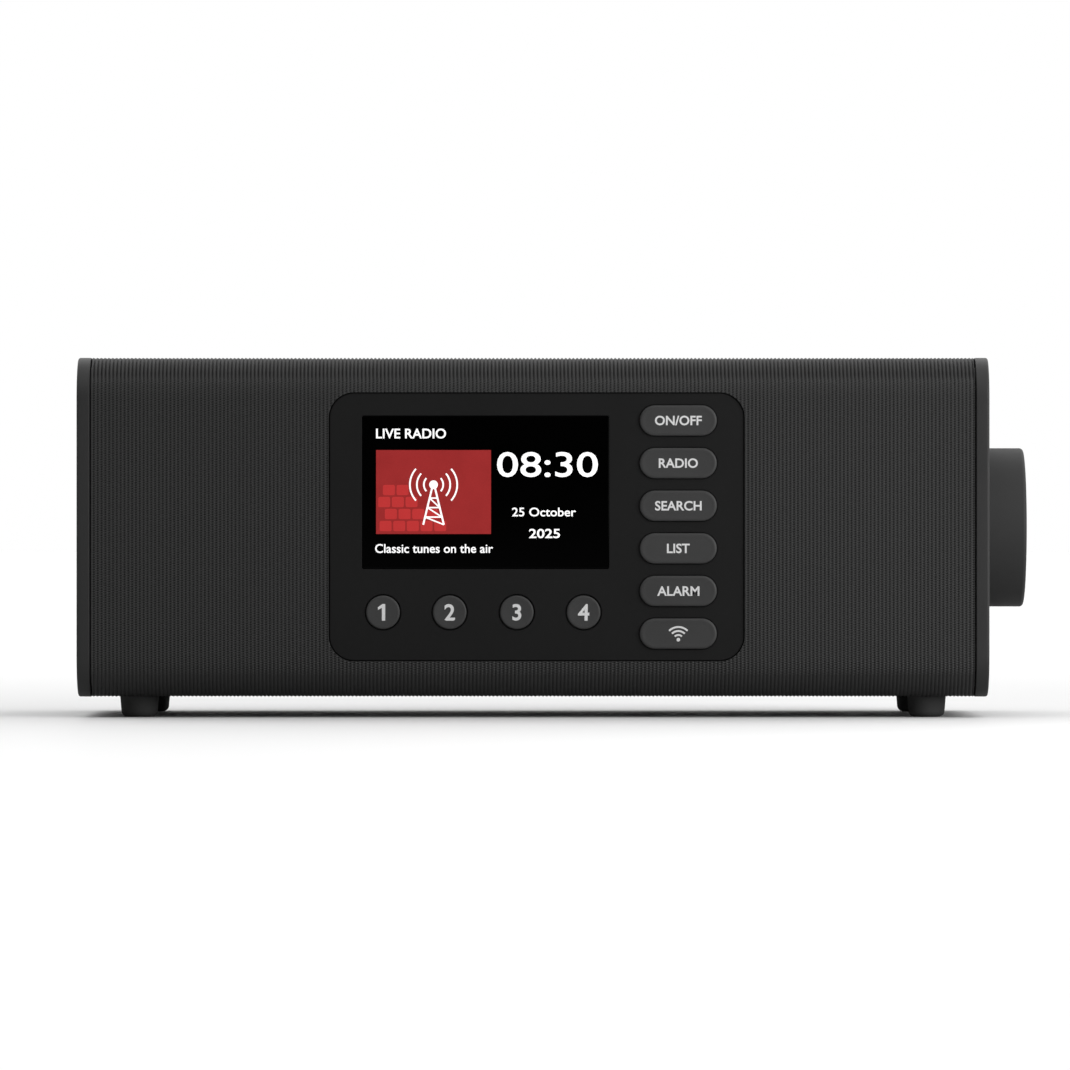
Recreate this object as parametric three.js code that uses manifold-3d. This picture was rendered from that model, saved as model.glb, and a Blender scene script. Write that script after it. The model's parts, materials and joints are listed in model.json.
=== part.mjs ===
// A tabletop radio: a ribbed sleeve closed by two flat end caps, a control panel with a colour
// display, four preset keys and six function keys, two full-range speakers, a push-and-turn
// volume knob on the right side, a screwed rear cover with its sockets, a swivelling telescopic
// aerial and four rubber feet.
//
// Millimetres, +Z up, the front faces -Y. The pieces are drawn with X = 0 in the middle of the
// sleeve, Y = 0 at the front of the end caps and Z = 0 under the feet, and the whole radio is
// then moved so that the origin is the bottom centre of its box.
import * as THREE from "three";
import { mergeVertices } from "three/addons/utils/BufferGeometryUtils.js";
import Module from "manifold-3d";

// ---------------------------------------------------------------- driving dimensions, mm
const BODY_W = 274; // over the end caps
const BODY_D = 118; // front of the caps to their back
const BODY_H = 102.1;
const FOOT_H = 6.2;
const CORNER_R = 12.5; // of the cabinet's side profile
const CAP_T = 3.9;
const CAP_PROUD = 0.3; // how far the caps stand out around the sleeve
const GROOVE = 0.5; // between a cap and the sleeve
const SEAM = 0.3; // gap between pieces that meet
const WALL = 2.2;
const MID_Z = FOOT_H + BODY_H / 2;
const MID_Y = BODY_D / 2;
const SLEEVE_X = BODY_W / 2 - CAP_T - GROOVE; // half length of the sleeve

const PANEL = { x: 1.1, z: 57.35, w: 124.6, h: 80.5, r: 7.5, y: 0.7, t: 2.6 };
const WINDOW = { x: -14.25, z: 67.7, w: 73.9, h: 45.8, r: 0.45, y: 0.78, t: 1.0 };
const LCD = { w: 68, h: 40.4 };
const PRESET = { x: [-45, -25, -4.85, 15.2], z: 31.7, r: 5.05, gap: 0.6, y: 0.15 };
const FUNCTION = { x: 43.6, z0: 89.25, pitch: 12.79, w: 23.2, h: 9.2, y: -0.3 };
const KEY_GAP = 0.35;
const STEM_END = 9.3; // the stems pass through the key mats and stop short of the board
const MAT_Y = [7.5, 8.6, 9.9]; // collar tops, sheet front, sheet back
const BOARD_Y = [10.2, 11.8];

const BAFFLE_Y = [6.5, 9.0];
const SPEAKER = { x: 98, r: 29.5, hole: 25.5 };

const FOOT = { x: 118.9, y: [19, 99], r: 5.85 };
const KNOB = { r: 24.25, x0: 137.8, x1: 150, y: 55, fillet: 1.2 };

const REAR = { w: 244, h: 74, r: 5, z: MID_Z, t: 2.4 }; // the opening in the back of the sleeve
const REAR_Y = BODY_D - CAP_PROUD; // outer face of the sleeve's back and of the cover
const SCREW = { x: 116.5, z: [26, 88.5], head: 2.9, shank: 1.4 };
const AERIAL = { x: 100, z: 84, y: REAR_Y + 6.5 }; // its swivel's axis, and the depth of its hinge pin
const TUBE_L = 180;
const JACKS = { power: -44, aux: -24, phones: -8, z: 29 };

// ---------------------------------------------------------------- solids
const wasm = await Module();
wasm.setup();

// A closed geometry as a solid, with its shared vertices merged and its faces outwards.
function solid(geometry) {
  const g = geometry.index ? geometry.toNonIndexed() : geometry.clone();
  const bare = new THREE.BufferGeometry().setAttribute("position", g.getAttribute("position"));
  const merged = mergeVertices(bare, 1e-4);
  const p = merged.attributes.position.array;
  const index = merged.index.array;
  const tri = [];
  const a = new THREE.Vector3(), b = new THREE.Vector3(), c = new THREE.Vector3();
  let volume = 0;
  for (let i = 0; i < index.length; i += 3) {
    const [ia, ib, ic] = [index[i], index[i + 1], index[i + 2]];
    if (ia === ib || ib === ic || ia === ic) continue;
    tri.push(ia, ib, ic);
    volume += a.fromArray(p, ia * 3).dot(b.fromArray(p, ib * 3).cross(c.fromArray(p, ic * 3)));
  }
  if (volume < 0) for (let i = 0; i < tri.length; i += 3) [tri[i + 1], tri[i + 2]] = [tri[i + 2], tri[i + 1]];
  return new wasm.Manifold(new wasm.Mesh({ numProp: 3, vertProperties: p, triVerts: new Uint32Array(tri) }));
}

function geometryOf(made) {
  const m = made.getMesh(), n = m.numProp;
  const v = new Float32Array(m.numVert * 3);
  for (let i = 0; i < m.numVert; i++) v.set(m.vertProperties.subarray(i * n, i * n + 3), i * 3);
  const g = new THREE.BufferGeometry().setAttribute("position", new THREE.BufferAttribute(v, 3));
  g.setIndex(new THREE.BufferAttribute(new Uint32Array(m.triVerts), 1));
  return g;
}

const join = (...parts) => parts.reduce((a, b) => a.add(b));
const cut = (from, ...tools) => tools.reduce((a, b) => a.subtract(b), from);

const box = (x0, x1, y0, y1, z0, z1) =>
  solid(new THREE.BoxGeometry(x1 - x0, y1 - y0, z1 - z0).translate((x0 + x1) / 2, (y0 + y1) / 2, (z0 + z1) / 2));

// Cylinders along each axis: radius, from, to, and the other two coordinates of the axis.
const cylX = (r, x0, x1, y, z, n = 14) =>
  solid(new THREE.CylinderGeometry(r, r, x1 - x0, n).rotateZ(-Math.PI / 2).translate((x0 + x1) / 2, y, z));
const cylY = (r, y0, y1, x, z, n = 14) =>
  solid(new THREE.CylinderGeometry(r, r, y1 - y0, n).translate(x, (y0 + y1) / 2, z));
const cylZ = (r, z0, z1, x, y, n = 14) =>
  solid(new THREE.CylinderGeometry(r, r, z1 - z0, n).rotateX(Math.PI / 2).translate(x, y, (z0 + z1) / 2));

function roundRect(w, h, r) {
  const s = new THREE.Shape(), x = w / 2, y = h / 2;
  s.moveTo(-x + r, -y);
  s.lineTo(x - r, -y);
  s.absarc(x - r, -y + r, r, -Math.PI / 2, 0, false);
  s.lineTo(x, y - r);
  s.absarc(x - r, y - r, r, 0, Math.PI / 2, false);
  s.lineTo(-x + r, y);
  s.absarc(-x + r, y - r, r, Math.PI / 2, Math.PI, false);
  s.lineTo(-x, -y + r);
  s.absarc(-x + r, -y + r, r, Math.PI, Math.PI * 1.5, false);
  return s;
}

// A flat shape given as (X, Z), thick along Y.
function plateY(shape, y0, y1, x = 0, z = 0, segments = 5) {
  const g = new THREE.ExtrudeGeometry(shape, { depth: y1 - y0, bevelEnabled: false, curveSegments: segments });
  g.applyMatrix4(
    new THREE.Matrix4().makeBasis(new THREE.Vector3(1, 0, 0), new THREE.Vector3(0, 0, 1), new THREE.Vector3(0, -1, 0)),
  );
  return solid(g.translate(x, y1, z));
}

// A flat shape given as (Y, Z), thick along X.
function plateX(shape, x0, x1, y = 0, z = 0, segments = 7) {
  const g = new THREE.ExtrudeGeometry(shape, { depth: x1 - x0, bevelEnabled: false, curveSegments: segments });
  g.applyMatrix4(
    new THREE.Matrix4().makeBasis(new THREE.Vector3(0, 1, 0), new THREE.Vector3(0, 0, 1), new THREE.Vector3(1, 0, 0)),
  );
  return solid(g.translate(x0, y, z));
}

// A profile of (radius, height) turned about Y, X or Z.
const turned = (points, n) => new THREE.LatheGeometry(points.map(([r, h]) => new THREE.Vector2(r, h)), n);
const latheY = (points, x, z, n = 32) => solid(turned(points, n).translate(x, 0, z));
const latheX = (points, y, z, n = 32) => solid(turned(points, n).rotateZ(-Math.PI / 2).translate(0, y, z));
const latheZ = (points, x, y, n = 24) => solid(turned(points, n).rotateX(Math.PI / 2).translate(x, y, 0));

// Points of a quarter-round or other arc in a (radius, height) profile.
const arc = (cr, ch, r, from, to, n) =>
  Array.from({ length: n + 1 }, (_, i) => {
    const t = THREE.MathUtils.degToRad(from + ((to - from) * i) / n);
    return [cr + r * Math.cos(t), ch + r * Math.sin(t)];
  });

// ---------------------------------------------------------------- scene graph
const paint = (color, roughness, metalness = 0) => new THREE.MeshStandardMaterial({ color, roughness, metalness });
const LOOK = {
  sleeve: [0x2b2b2b, 0.75],
  cap: [0x2f2f2f, 0.55],
  panel: [0x1d1d1e, 0.5],
  key: [0x363637, 0.55],
  window: [0x050506, 0.08],
  lcd: [0x08090b, 0.25],
  foot: [0x232323, 0.85],
  silicone: [0x5a5c5e, 0.8],
  board: [0x14532f, 0.45],
  can: [0xb8babd, 0.35, 1],
  heatsink: [0x9da1a6, 0.4, 1],
  black: [0x161616, 0.5],
  chrome: [0xd6d8da, 0.12, 1],
  steel: [0x8d8f93, 0.35, 1],
  cone: [0x1b1b1d, 0.7],
  rubber: [0x101010, 0.6],
  magnet: [0x3b3c3f, 0.5, 1],
  wire: [0x992222, 0.5],
  ribbon: [0xb9bcc0, 0.5],
};

const radio = new THREE.Group();
const group = () => {
  const g = new THREE.Group();
  radio.add(g);
  return g;
};

// Adds a node: its solid is drawn in the radio's own coordinates, and its mesh is placed at `at`.
function add(parent, name, made, look, at) {
  const mesh = new THREE.Mesh(geometryOf(made).translate(-at[0], -at[1], -at[2]), paint(...LOOK[look]));
  mesh.name = name;
  mesh.position.set(...at);
  parent.add(mesh);
}

// ---------------------------------------------------------------- cabinet
const cabinet = group();
const profile = (inset) =>
  roundRect(BODY_D - 2 * inset, BODY_H - 2 * inset, Math.max(CORNER_R - inset, 0.5));

{
  const inner = CAP_PROUD + WALL;
  let sleeve = cut(
    plateX(profile(CAP_PROUD), -SLEEVE_X, SLEEVE_X, MID_Y, MID_Z),
    plateX(profile(inner), -SLEEVE_X - 1, SLEEVE_X + 1, MID_Y, MID_Z),
  );
  // Screw bosses and the ledge that the rear cover lies on.
  const ledge1 = REAR_Y - REAR.t - SEAM, ledge0 = ledge1 - 1.6;
  const ledge = cut(
    plateY(roundRect(REAR.w + 7, 91, 4), ledge0, BODY_D - inner + 0.1, 0, REAR.z, 2),
    plateY(roundRect(REAR.w - 6, REAR.h - 6, 3), ledge0 - 1, BODY_D, 0, REAR.z, 2),
  );
  const posts = [];
  const holes = [];
  for (const x of [-SCREW.x, SCREW.x])
    for (const z of SCREW.z) {
      posts.push(cylY(3.8, ledge1 - 15, ledge1 - 0.2, x, z, 10));
      holes.push(cylY(1.75, ledge1 - 13, ledge1 + 1, x, z, 8));
    }
  // Posts that space the speaker baffle off the front wall.
  for (const x of [-122, 122]) for (const z of [20, 93]) posts.push(cylY(3, inner - 0.5, BAFFLE_Y[0] - SEAM, x, z, 8));
  for (const x of [-69, 71]) posts.push(cylY(2.6, inner - 0.5, BAFFLE_Y[0] - SEAM, x, MID_Z, 8));
  // Stand-offs under the main board.
  for (const x of [-48, 48]) for (const y of [44, 100]) posts.push(cylZ(3, FOOT_H + inner - 0.5, 13.7, x, y, 8));
  sleeve = cut(join(sleeve, ledge, ...posts), ...holes);
  // The openings for the control panel and the rear cover, and the holes for the feet's plugs.
  sleeve = cut(
    sleeve,
    plateY(roundRect(PANEL.w + 0.5, PANEL.h + 0.5, PANEL.r + 0.25), -1, 6, PANEL.x, PANEL.z, 7),
    plateY(roundRect(REAR.w, REAR.h, REAR.r), ledge1, BODY_D + 2, 0, REAR.z, 4),
    ...[-FOOT.x, FOOT.x].flatMap((x) => FOOT.y.map((y) => cylZ(2.9, FOOT_H - 1, FOOT_H + 4, x, y, 10))),
  );
  add(cabinet, "grille_sleeve", sleeve, "sleeve", [0, MID_Y, MID_Z]);
}

function endCap(side) {
  const s = side === "left" ? -1 : 1;
  const span = (a, b) => (s > 0 ? [a, b] : [-b, -a]);
  const plate = plateX(profile(0), ...span(BODY_W / 2 - CAP_T, BODY_W / 2), MID_Y, MID_Z, 7);
  const plug = CAP_PROUD + WALL + 0.35;
  const lip = cut(
    plateX(profile(plug), ...span(BODY_W / 2 - CAP_T - 4, BODY_W / 2 - CAP_T + 1), MID_Y, MID_Z),
    plateX(profile(plug + 1.8), ...span(BODY_W / 2 - CAP_T - 5, BODY_W / 2 - CAP_T), MID_Y, MID_Z),
  );
  return join(plate, lip);
}
add(cabinet, "left_end_cap", endCap("left"), "cap", [-BODY_W / 2, MID_Y, MID_Z]);
{
  // The right cap has a boss for the encoder's threaded neck.
  const boss = cylX(8.5, 127, BODY_W / 2 - 1, KNOB.y, MID_Z, 16);
  const right = cut(join(endCap("right"), boss), cylX(4.9, 120, BODY_W / 2 + 2, KNOB.y, MID_Z, 16));
  add(cabinet, "right_end_cap", right, "cap", [BODY_W / 2, MID_Y, MID_Z]);
}

{
  let cover = plateY(roundRect(REAR.w - 0.6, REAR.h - 0.6, REAR.r - 0.3), REAR_Y - REAR.t, REAR_Y, 0, REAR.z, 4);
  const tools = [];
  for (const x of [-SCREW.x, SCREW.x])
    for (const z of SCREW.z) {
      tools.push(cylY(1.8, REAR_Y - 4, REAR_Y + 1, x, z, 8));
      tools.push(cylY(3.3, REAR_Y - 1.5, REAR_Y + 1, x, z, 12));
    }
  tools.push(cylY(3.9, REAR_Y - 4, REAR_Y + 1, AERIAL.x, AERIAL.z, 14));
  tools.push(cylY(5.4, REAR_Y - 4, REAR_Y + 1, JACKS.power, JACKS.z, 16));
  for (const x of [JACKS.aux, JACKS.phones]) tools.push(cylY(4.0, REAR_Y - 4, REAR_Y + 1, x, JACKS.z, 14));
  // Vent slots in two fields.
  for (const x0 of [-100, 58])
    for (let i = 0; i < 6; i++)
      tools.push(plateY(roundRect(1.8, 24, 0.6), REAR_Y - 4, REAR_Y + 1, x0 + i * 6.4, 56, 1));
  cover = cut(cover, ...tools);
  add(cabinet, "rear_cover", cover, "cap", [0, REAR_Y, REAR.z]);
}

for (const [label, x] of [["left", -FOOT.x], ["right", FOOT.x]])
  for (const [row, y] of [["front", FOOT.y[0]], ["rear", FOOT.y[1]]]) {
    const z1 = FOOT_H; // the seam above it is the sleeve's inset behind the caps
    const foot = latheZ(
      [
        [0, 0],
        [3.6, 0],
        ...arc(3.6, 2.0, 2.0, -65, -8, 2),
        [FOOT.r, z1],
        [2.4, z1],
        [2.4, z1 + 3.4],
        [0, z1 + 3.4],
      ],
      x,
      y,
      16,
    );
    add(cabinet, `${row}_${label}_foot`, foot, "foot", [x, y, 0]);
  }

// ---------------------------------------------------------------- control panel
const controls = group();
const pill = (w, h) => roundRect(w, h, h / 2 - 0.01); // a stadium
const functionZ = (i) => FUNCTION.z0 - i * FUNCTION.pitch;
{
  const y0 = PANEL.y, y1 = y0 + PANEL.t;
  let panel = join(
    plateY(roundRect(PANEL.w, PANEL.h, PANEL.r), y0, y1 + 0.3, PANEL.x, PANEL.z, 7),
    plateY(roundRect(PANEL.w + 3, PANEL.h + 3, PANEL.r + 1.5), y1, 4.6, PANEL.x, PANEL.z, 5),
    ...[[-56.5, 22.5], [-56.5, 90.5], [58.4, 31.75], [58.4, 82.85]].map(([x, z]) => cylY(2, 4, BOARD_Y[0] - SEAM, x, z, 8)),
  );
  const tools = [
    plateY(roundRect(WINDOW.w + 0.3, WINDOW.h + 0.3, WINDOW.r + 0.15), y0 - 1, WINDOW.y + WINDOW.t + 0.25, WINDOW.x, WINDOW.z, 2),
    plateY(roundRect(LCD.w + 0.8, LCD.h + 0.8, 0.4), y0 - 1, 6, WINDOW.x, WINDOW.z, 2),
  ];
  for (const x of PRESET.x) {
    tools.push(cylY(PRESET.r + PRESET.gap, y0 - 1, 6, x, PRESET.z, 20));
    tools.push(cylY(PRESET.r + 1.7, y1 - 0.6, 6, x, PRESET.z, 10));
  }
  for (let i = 0; i < 6; i++) {
    tools.push(plateY(pill(FUNCTION.w + 2 * KEY_GAP, FUNCTION.h + 2 * KEY_GAP), y0 - 1, 6, FUNCTION.x, functionZ(i), 4));
    tools.push(plateY(pill(FUNCTION.w + 2.8, FUNCTION.h + 2.8), y1 - 0.6, 6, FUNCTION.x, functionZ(i), 2));
  }
  panel = cut(panel, ...tools);
  add(controls, "control_panel", panel, "panel", [PANEL.x, PANEL.y, PANEL.z]);
}
add(
  controls,
  "display_window",
  plateY(roundRect(WINDOW.w, WINDOW.h, WINDOW.r), WINDOW.y, WINDOW.y + WINDOW.t, WINDOW.x, WINDOW.z, 2),
  "window",
  [WINDOW.x, WINDOW.y, WINDOW.z],
);
add(controls, "display_panel", box(WINDOW.x - LCD.w / 2, WINDOW.x + LCD.w / 2, 2.2, 4.6, WINDOW.z - LCD.h / 2, WINDOW.z + LCD.h / 2), "lcd", [
  WINDOW.x, 2.2, WINDOW.z,
]);
{
  // A pressed metal case with a rim around the backlight's edge.
  const frame = cut(
    box(WINDOW.x - 37, WINDOW.x + 37, 5.0, 8.2, WINDOW.z - 23, WINDOW.z + 23),
    box(WINDOW.x - 35.6, WINDOW.x + 35.6, 4, 6.8, WINDOW.z - 21.6, WINDOW.z + 21.6),
  );
  add(controls, "display_frame", frame, "can", [WINDOW.x, 5.0, WINDOW.z]);
}

PRESET.x.forEach((x, i) => {
  const z = PRESET.z, y0 = PRESET.y;
  const cap = latheY([[0, y0 + 0.2], [4.3, y0], [PRESET.r, y0 + 0.45], [PRESET.r, 3.4], [0, 3.4]], x, z, 20);
  const key = join(cap, cylY(PRESET.r + 1.1, 3.0, 3.8, x, z, 10), cylY(1.95, 3.5, STEM_END, x, z, 8));
  add(controls, `preset_key_${i + 1}`, key, "key", [x, y0, z]);
});
["power_key", "radio_key", "search_key", "list_key", "alarm_key", "wireless_key"].forEach((name, i) => {
  const x = FUNCTION.x, z = functionZ(i), y0 = FUNCTION.y;
  const key = join(
    plateY(pill(FUNCTION.w - 1, FUNCTION.h - 1), y0, 2, x, z, 4),
    plateY(pill(FUNCTION.w, FUNCTION.h), y0 + 0.4, 3.4, x, z, 4),
    plateY(pill(FUNCTION.w + 1.8, FUNCTION.h + 1.8), 3.0, 3.8, x, z, 2),
    box(x - 4, x + 4, 3.5, STEM_END, z - 2, z + 2),
  );
  add(controls, name, key, "key", [x, y0, z]);
});

{
  const mx = (PRESET.x[0] + PRESET.x[3]) / 2;
  const mat = cut(
    join(
      plateY(roundRect(74, 14, 3), MAT_Y[1], MAT_Y[2], mx, PRESET.z, 2),
      ...PRESET.x.map((x) => cylY(3.6, MAT_Y[0], MAT_Y[1] + 0.3, x, PRESET.z, 8)),
    ),
    ...PRESET.x.map((x) => cylY(2.35, MAT_Y[0] - 1, MAT_Y[2] + 1, x, PRESET.z, 8)),
  );
  add(controls, "preset_key_mat", mat, "silicone", [mx, MAT_Y[1], PRESET.z]);
  const mz = functionZ(2.5);
  const rows = [0, 1, 2, 3, 4, 5].map(functionZ);
  const mat2 = cut(
    join(
      plateY(roundRect(16, 74, 3), MAT_Y[1], MAT_Y[2], FUNCTION.x, mz, 2),
      ...rows.map((z) => box(FUNCTION.x - 5.6, FUNCTION.x + 5.6, MAT_Y[0], MAT_Y[1] + 0.3, z - 3.6, z + 3.6)),
    ),
    ...rows.map((z) => box(FUNCTION.x - 4.35, FUNCTION.x + 4.35, MAT_Y[0] - 1, MAT_Y[2] + 1, z - 2.35, z + 2.35)),
  );
  add(controls, "function_key_mat", mat2, "silicone", [FUNCTION.x, MAT_Y[1], mz]);
}
{
  const chip = (x, z, w, h, t) => box(x - w / 2, x + w / 2, BOARD_Y[1] - 0.2, BOARD_Y[1] + t, z - h / 2, z + h / 2);
  const board = join(
    box(-59.5, 61, BOARD_Y[0], BOARD_Y[1], 19.5, 93.5),
    chip(-14, 66, 12, 12, 1.2),
    chip(20, 50, 7, 7, 1.2),
    chip(-35, 44, 5, 9, 1.6),
    chip(0, 22.5, 24, 4, 2.5),
  );
  add(controls, "control_board", board, "board", [0.75, BOARD_Y[0], 56.5]);
}

// ---------------------------------------------------------------- baffle and speakers
const sound = group();
{
  const hole = (x) => cylY(SPEAKER.hole, 0, 20, x, MID_Z, 28);
  const baffle = cut(
    plateY(roundRect(256, 91.6, 4), ...BAFFLE_Y, 0, MID_Z, 2),
    plateY(roundRect(132, 85.6, 3), 0, 20, PANEL.x, PANEL.z, 2),
    hole(-SPEAKER.x),
    hole(SPEAKER.x),
  );
  add(sound, "speaker_baffle", baffle, "black", [0, BAFFLE_Y[0], MID_Z]);
}
for (const [side, x] of [["left", -SPEAKER.x], ["right", SPEAKER.x]]) {
  const f = BAFFLE_Y[1] + SEAM; // front face of the basket's flange
  let basket = latheY(
    [[25.6, f], [SPEAKER.r, f], [SPEAKER.r, f + 1.4], [26.6, f + 1.4], [17.2, f + 15], [17.2, f + 16.6], [9.8, f + 16.6], [9.8, f + 15.4], [15.9, f + 15.4], [25.6, f + 1.2], [25.6, f]],
    x,
    MID_Z,
    16,
  );
  for (const [dx, dz] of [[1, 1], [1, -1], [-1, 1], [-1, -1]]) {
    const w = new THREE.BoxGeometry(13, 9.5, 40).rotateY(Math.atan2(dx, dz)).translate(x + dx * 16, f + 8, MID_Z + dz * 16);
    basket = cut(basket, solid(w));
  }
  add(sound, `${side}_speaker_basket`, basket, "black", [x, f, MID_Z]);
  // A half-roll rubber surround between the flange and the cone.
  add(
    sound,
    `${side}_speaker_surround`,
    latheY(
      [...arc(22.6, f + 0.9, 2.6, 180, 0, 4).map(([r, h]) => [r, f + 0.9 - (h - f - 0.9) * 0.8]), ...arc(22.6, f + 1.4, 2.1, 0, 180, 4).map(([r, h]) => [r, f + 1.4 - (h - f - 1.4) * 0.8]), [20, f + 0.9]],
      x,
      MID_Z,
      16,
    ),
    "rubber",
    [x, f, MID_Z],
  );
  add(
    sound,
    `${side}_speaker_cone`,
    latheY(
      [[0, f + 5.2], [5.4, f + 6.2], [8, f + 8.4], [19.6, f + 1.2], [19.6, f + 2.1], [8.8, f + 9.3], [8.8, f + 18], [7.8, f + 18], [7.8, f + 9.4], [5, f + 7.2], [0, f + 6.2]],
      x,
      MID_Z,
      16,
    ),
    "cone",
    [x, f, MID_Z],
  );
  // Top plate, ring magnet and back plate with the pole in the voice coil's gap.
  add(
    sound,
    `${side}_speaker_magnet`,
    latheY(
      [[9.6, f + 16.9], [16.2, f + 16.9], [16.2, f + 18.4], [18, f + 18.4], [18, f + 26], [16, f + 26], [16, f + 28], [0, f + 28], [0, f + 12.5], [6.9, f + 12.5], [6.9, f + 25.4], [9.6, f + 25.4], [9.6, f + 16.9]],
      x,
      MID_Z,
      16,
    ),
    "magnet",
    [x, f + 17, MID_Z],
  );
}

// ---------------------------------------------------------------- electronics
const electronics = group();
const DECK = 15.6; // top of the main board
{
  const part = (x0, x1, y0, y1, h) => box(x0, x1, y0, y1, DECK - 0.3, DECK + h);
  const can = (x, y, r, h) => cylZ(r, DECK - 0.3, DECK + h, x, y, 10);
  const board = join(
    box(-55, 55, 36, 109, 14.0, DECK),
    part(-50, -36, 48, 58, 1.4),
    part(18, 24, 50, 70, 7),
    part(-14, 10, 37, 41, 2.6),
    part(40, 52, 40, 45, 5),
    can(-30, 82, 4, 12),
    can(-20, 82, 4, 12),
    can(46, 66, 5, 14),
  );
  add(electronics, "main_board", board, "board", [0, 72, 14]);
}
add(electronics, "tuner_module", box(-12, 12, 54, 88, DECK + SEAM, DECK + 4.5), "can", [0, 71, DECK]);
{
  const fins = [0, 1, 2, 3, 4].map((i) => box(28 + i * 3, 29.2 + i * 3, 80, 104, DECK + 2, DECK + 14));
  add(electronics, "amplifier_heatsink", join(box(27, 42, 80, 104, DECK + SEAM, DECK + 2.3), ...fins), "heatsink", [34, 92, DECK]);
}
function jack(x, w, h, barrel, bore) {
  return cut(
    join(box(x - w / 2, x + w / 2, 99, 113, DECK + SEAM, JACKS.z + h / 2), cylY(barrel, 112, REAR_Y, x, JACKS.z, 14)),
    cylY(bore, 103, REAR_Y + 1, x, JACKS.z, 12),
  );
}
add(electronics, "power_jack", join(jack(JACKS.power, 9.4, 11.4, 4.9, 3.1), cylY(1.0, 102, REAR_Y - 1, JACKS.power, JACKS.z, 8)), "black", [JACKS.power, 108, JACKS.z]);
add(electronics, "aux_jack", jack(JACKS.aux, 8.2, 9.4, 3.6, 1.85), "black", [JACKS.aux, 108, JACKS.z]);
add(electronics, "headphone_jack", jack(JACKS.phones, 8.2, 9.4, 3.6, 1.85), "black", [JACKS.phones, 108, JACKS.z]);

// A rectangle or ring of points carried along a curve.
function swept(points, w, h, steps, sides = 0) {
  const s = new THREE.Shape();
  if (sides) {
    for (let i = 0; i < sides; i++) {
      const t = (i / sides) * Math.PI * 2;
      i ? s.lineTo((w / 2) * Math.cos(t), (h / 2) * Math.sin(t)) : s.moveTo(w / 2, 0);
    }
    s.closePath();
  } else s.moveTo(-w / 2, -h / 2).lineTo(w / 2, -h / 2).lineTo(w / 2, h / 2).lineTo(-w / 2, h / 2).closePath();
  const path = new THREE.CatmullRomCurve3(points.map((p) => new THREE.Vector3(...p)), false, "centripetal");
  return solid(new THREE.ExtrudeGeometry(s, { steps, bevelEnabled: false, extrudePath: path }));
}
// The flat cable from the control board's socket back and down to the main board's, bent in the YZ plane.
{
  const way = [[14.7, 22.5], [17.5, 22.5], [19.8, 21.6], [21.6, 19.6], [23.6, 18.5], [27, 18], [36.6, 17.6]];
  const s = new THREE.Shape();
  const curve = new THREE.CatmullRomCurve3(way.map(([y, z]) => new THREE.Vector3(y, z, 0)), false, "centripetal").getPoints(14);
  const side = (d) =>
    curve.map((p, i) => {
      const a = curve[Math.max(i - 1, 0)], b = curve[Math.min(i + 1, curve.length - 1)];
      const n = new THREE.Vector2(-(b.y - a.y), b.x - a.x).normalize();
      return new THREE.Vector2(p.x + n.x * d, p.y + n.y * d);
    });
  s.setFromPoints([...side(0.25), ...side(-0.25).reverse()]);
  add(electronics, "control_ribbon_cable", plateX(s, -11, 7), "ribbon", [-2, 23, 20]);
}
for (const [side, s] of [["left", -1], ["right", 1]]) {
  const x = s * SPEAKER.x;
  add(
    electronics,
    `${side}_speaker_wire`,
    swept([[x - s * 18.5, 26, 50], [x - s * 24, 29, 45], [x - s * 29, 34, 33], [s * 62, 38, 22], [s * 57.5, 42, 17.4], [s * 55.6, 45, 16.6]], 1.8, 1.8, 14, 6),
    "wire",
    [s * 66, 36, 33],
  );
}

// ---------------------------------------------------------------- volume knob and its encoder
const volume = group();
{
  const y = KNOB.y, z = MID_Z;
  const bodyX0 = 119.7, bodyX1 = 126.7;
  add(volume, "encoder_board", join(box(117.6, 119.2, y - 11, y + 11, z - 15, z + 15), box(114.4, 117.8, y - 8, y + 8, z - 13.5, z - 10)), "board", [118.4, y, z]);
  const encoder = cut(
    join(box(bodyX0, bodyX1, y - 6.5, y + 6.5, z - 6.5, z + 6.5), cylX(4.5, bodyX1 - 1, 139.4, y, z, 16)),
    cylX(3.35, bodyX0 - 1, 142, y, z, 16),
    cylX(4.9, bodyX0 - 1, bodyX0 + 2.6, y, z, 16),
  );
  add(volume, "encoder_body", encoder, "steel", [bodyX1, y, z]);
  add(volume, "encoder_nut", cut(cylX(6.6, 137.3, 139.2, y, z, 6), cylX(4.85, 134, 141, y, z, 16)), "steel", [138.2, y, z]);
  // The plunger under the shaft, which presses the board's dome switch.
  add(volume, "encoder_plunger", join(cylX(4.4, 120.8, 121.9, y, z, 14), cylX(1.4, 119.85, 121, y, z, 8)), "key", [121.3, y, z]);
  add(volume, "encoder_shaft", cylX(2.95, 122.2, 146.8, y, z, 16), "steel", [134, y, z]);
  const { r, x0, x1, fillet } = KNOB;
  const knob = latheX(
    [
      [0, x1], [r - fillet, x1], ...arc(r - fillet, x1 - fillet, fillet, 60, 0, 2), [r, x0 + 0.3], [r - 0.3, x0], [r - 2.2, x0],
      [r - 2.2, x1 - 2.4], [6.2, x1 - 2.4], [6.2, 140.2], [3.3, 140.2], [3.3, 147.1], [0, 147.1],
    ],
    y,
    z,
    40,
  );
  add(volume, "volume_knob", knob, "cap", [x1, y, z]);
}

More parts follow.
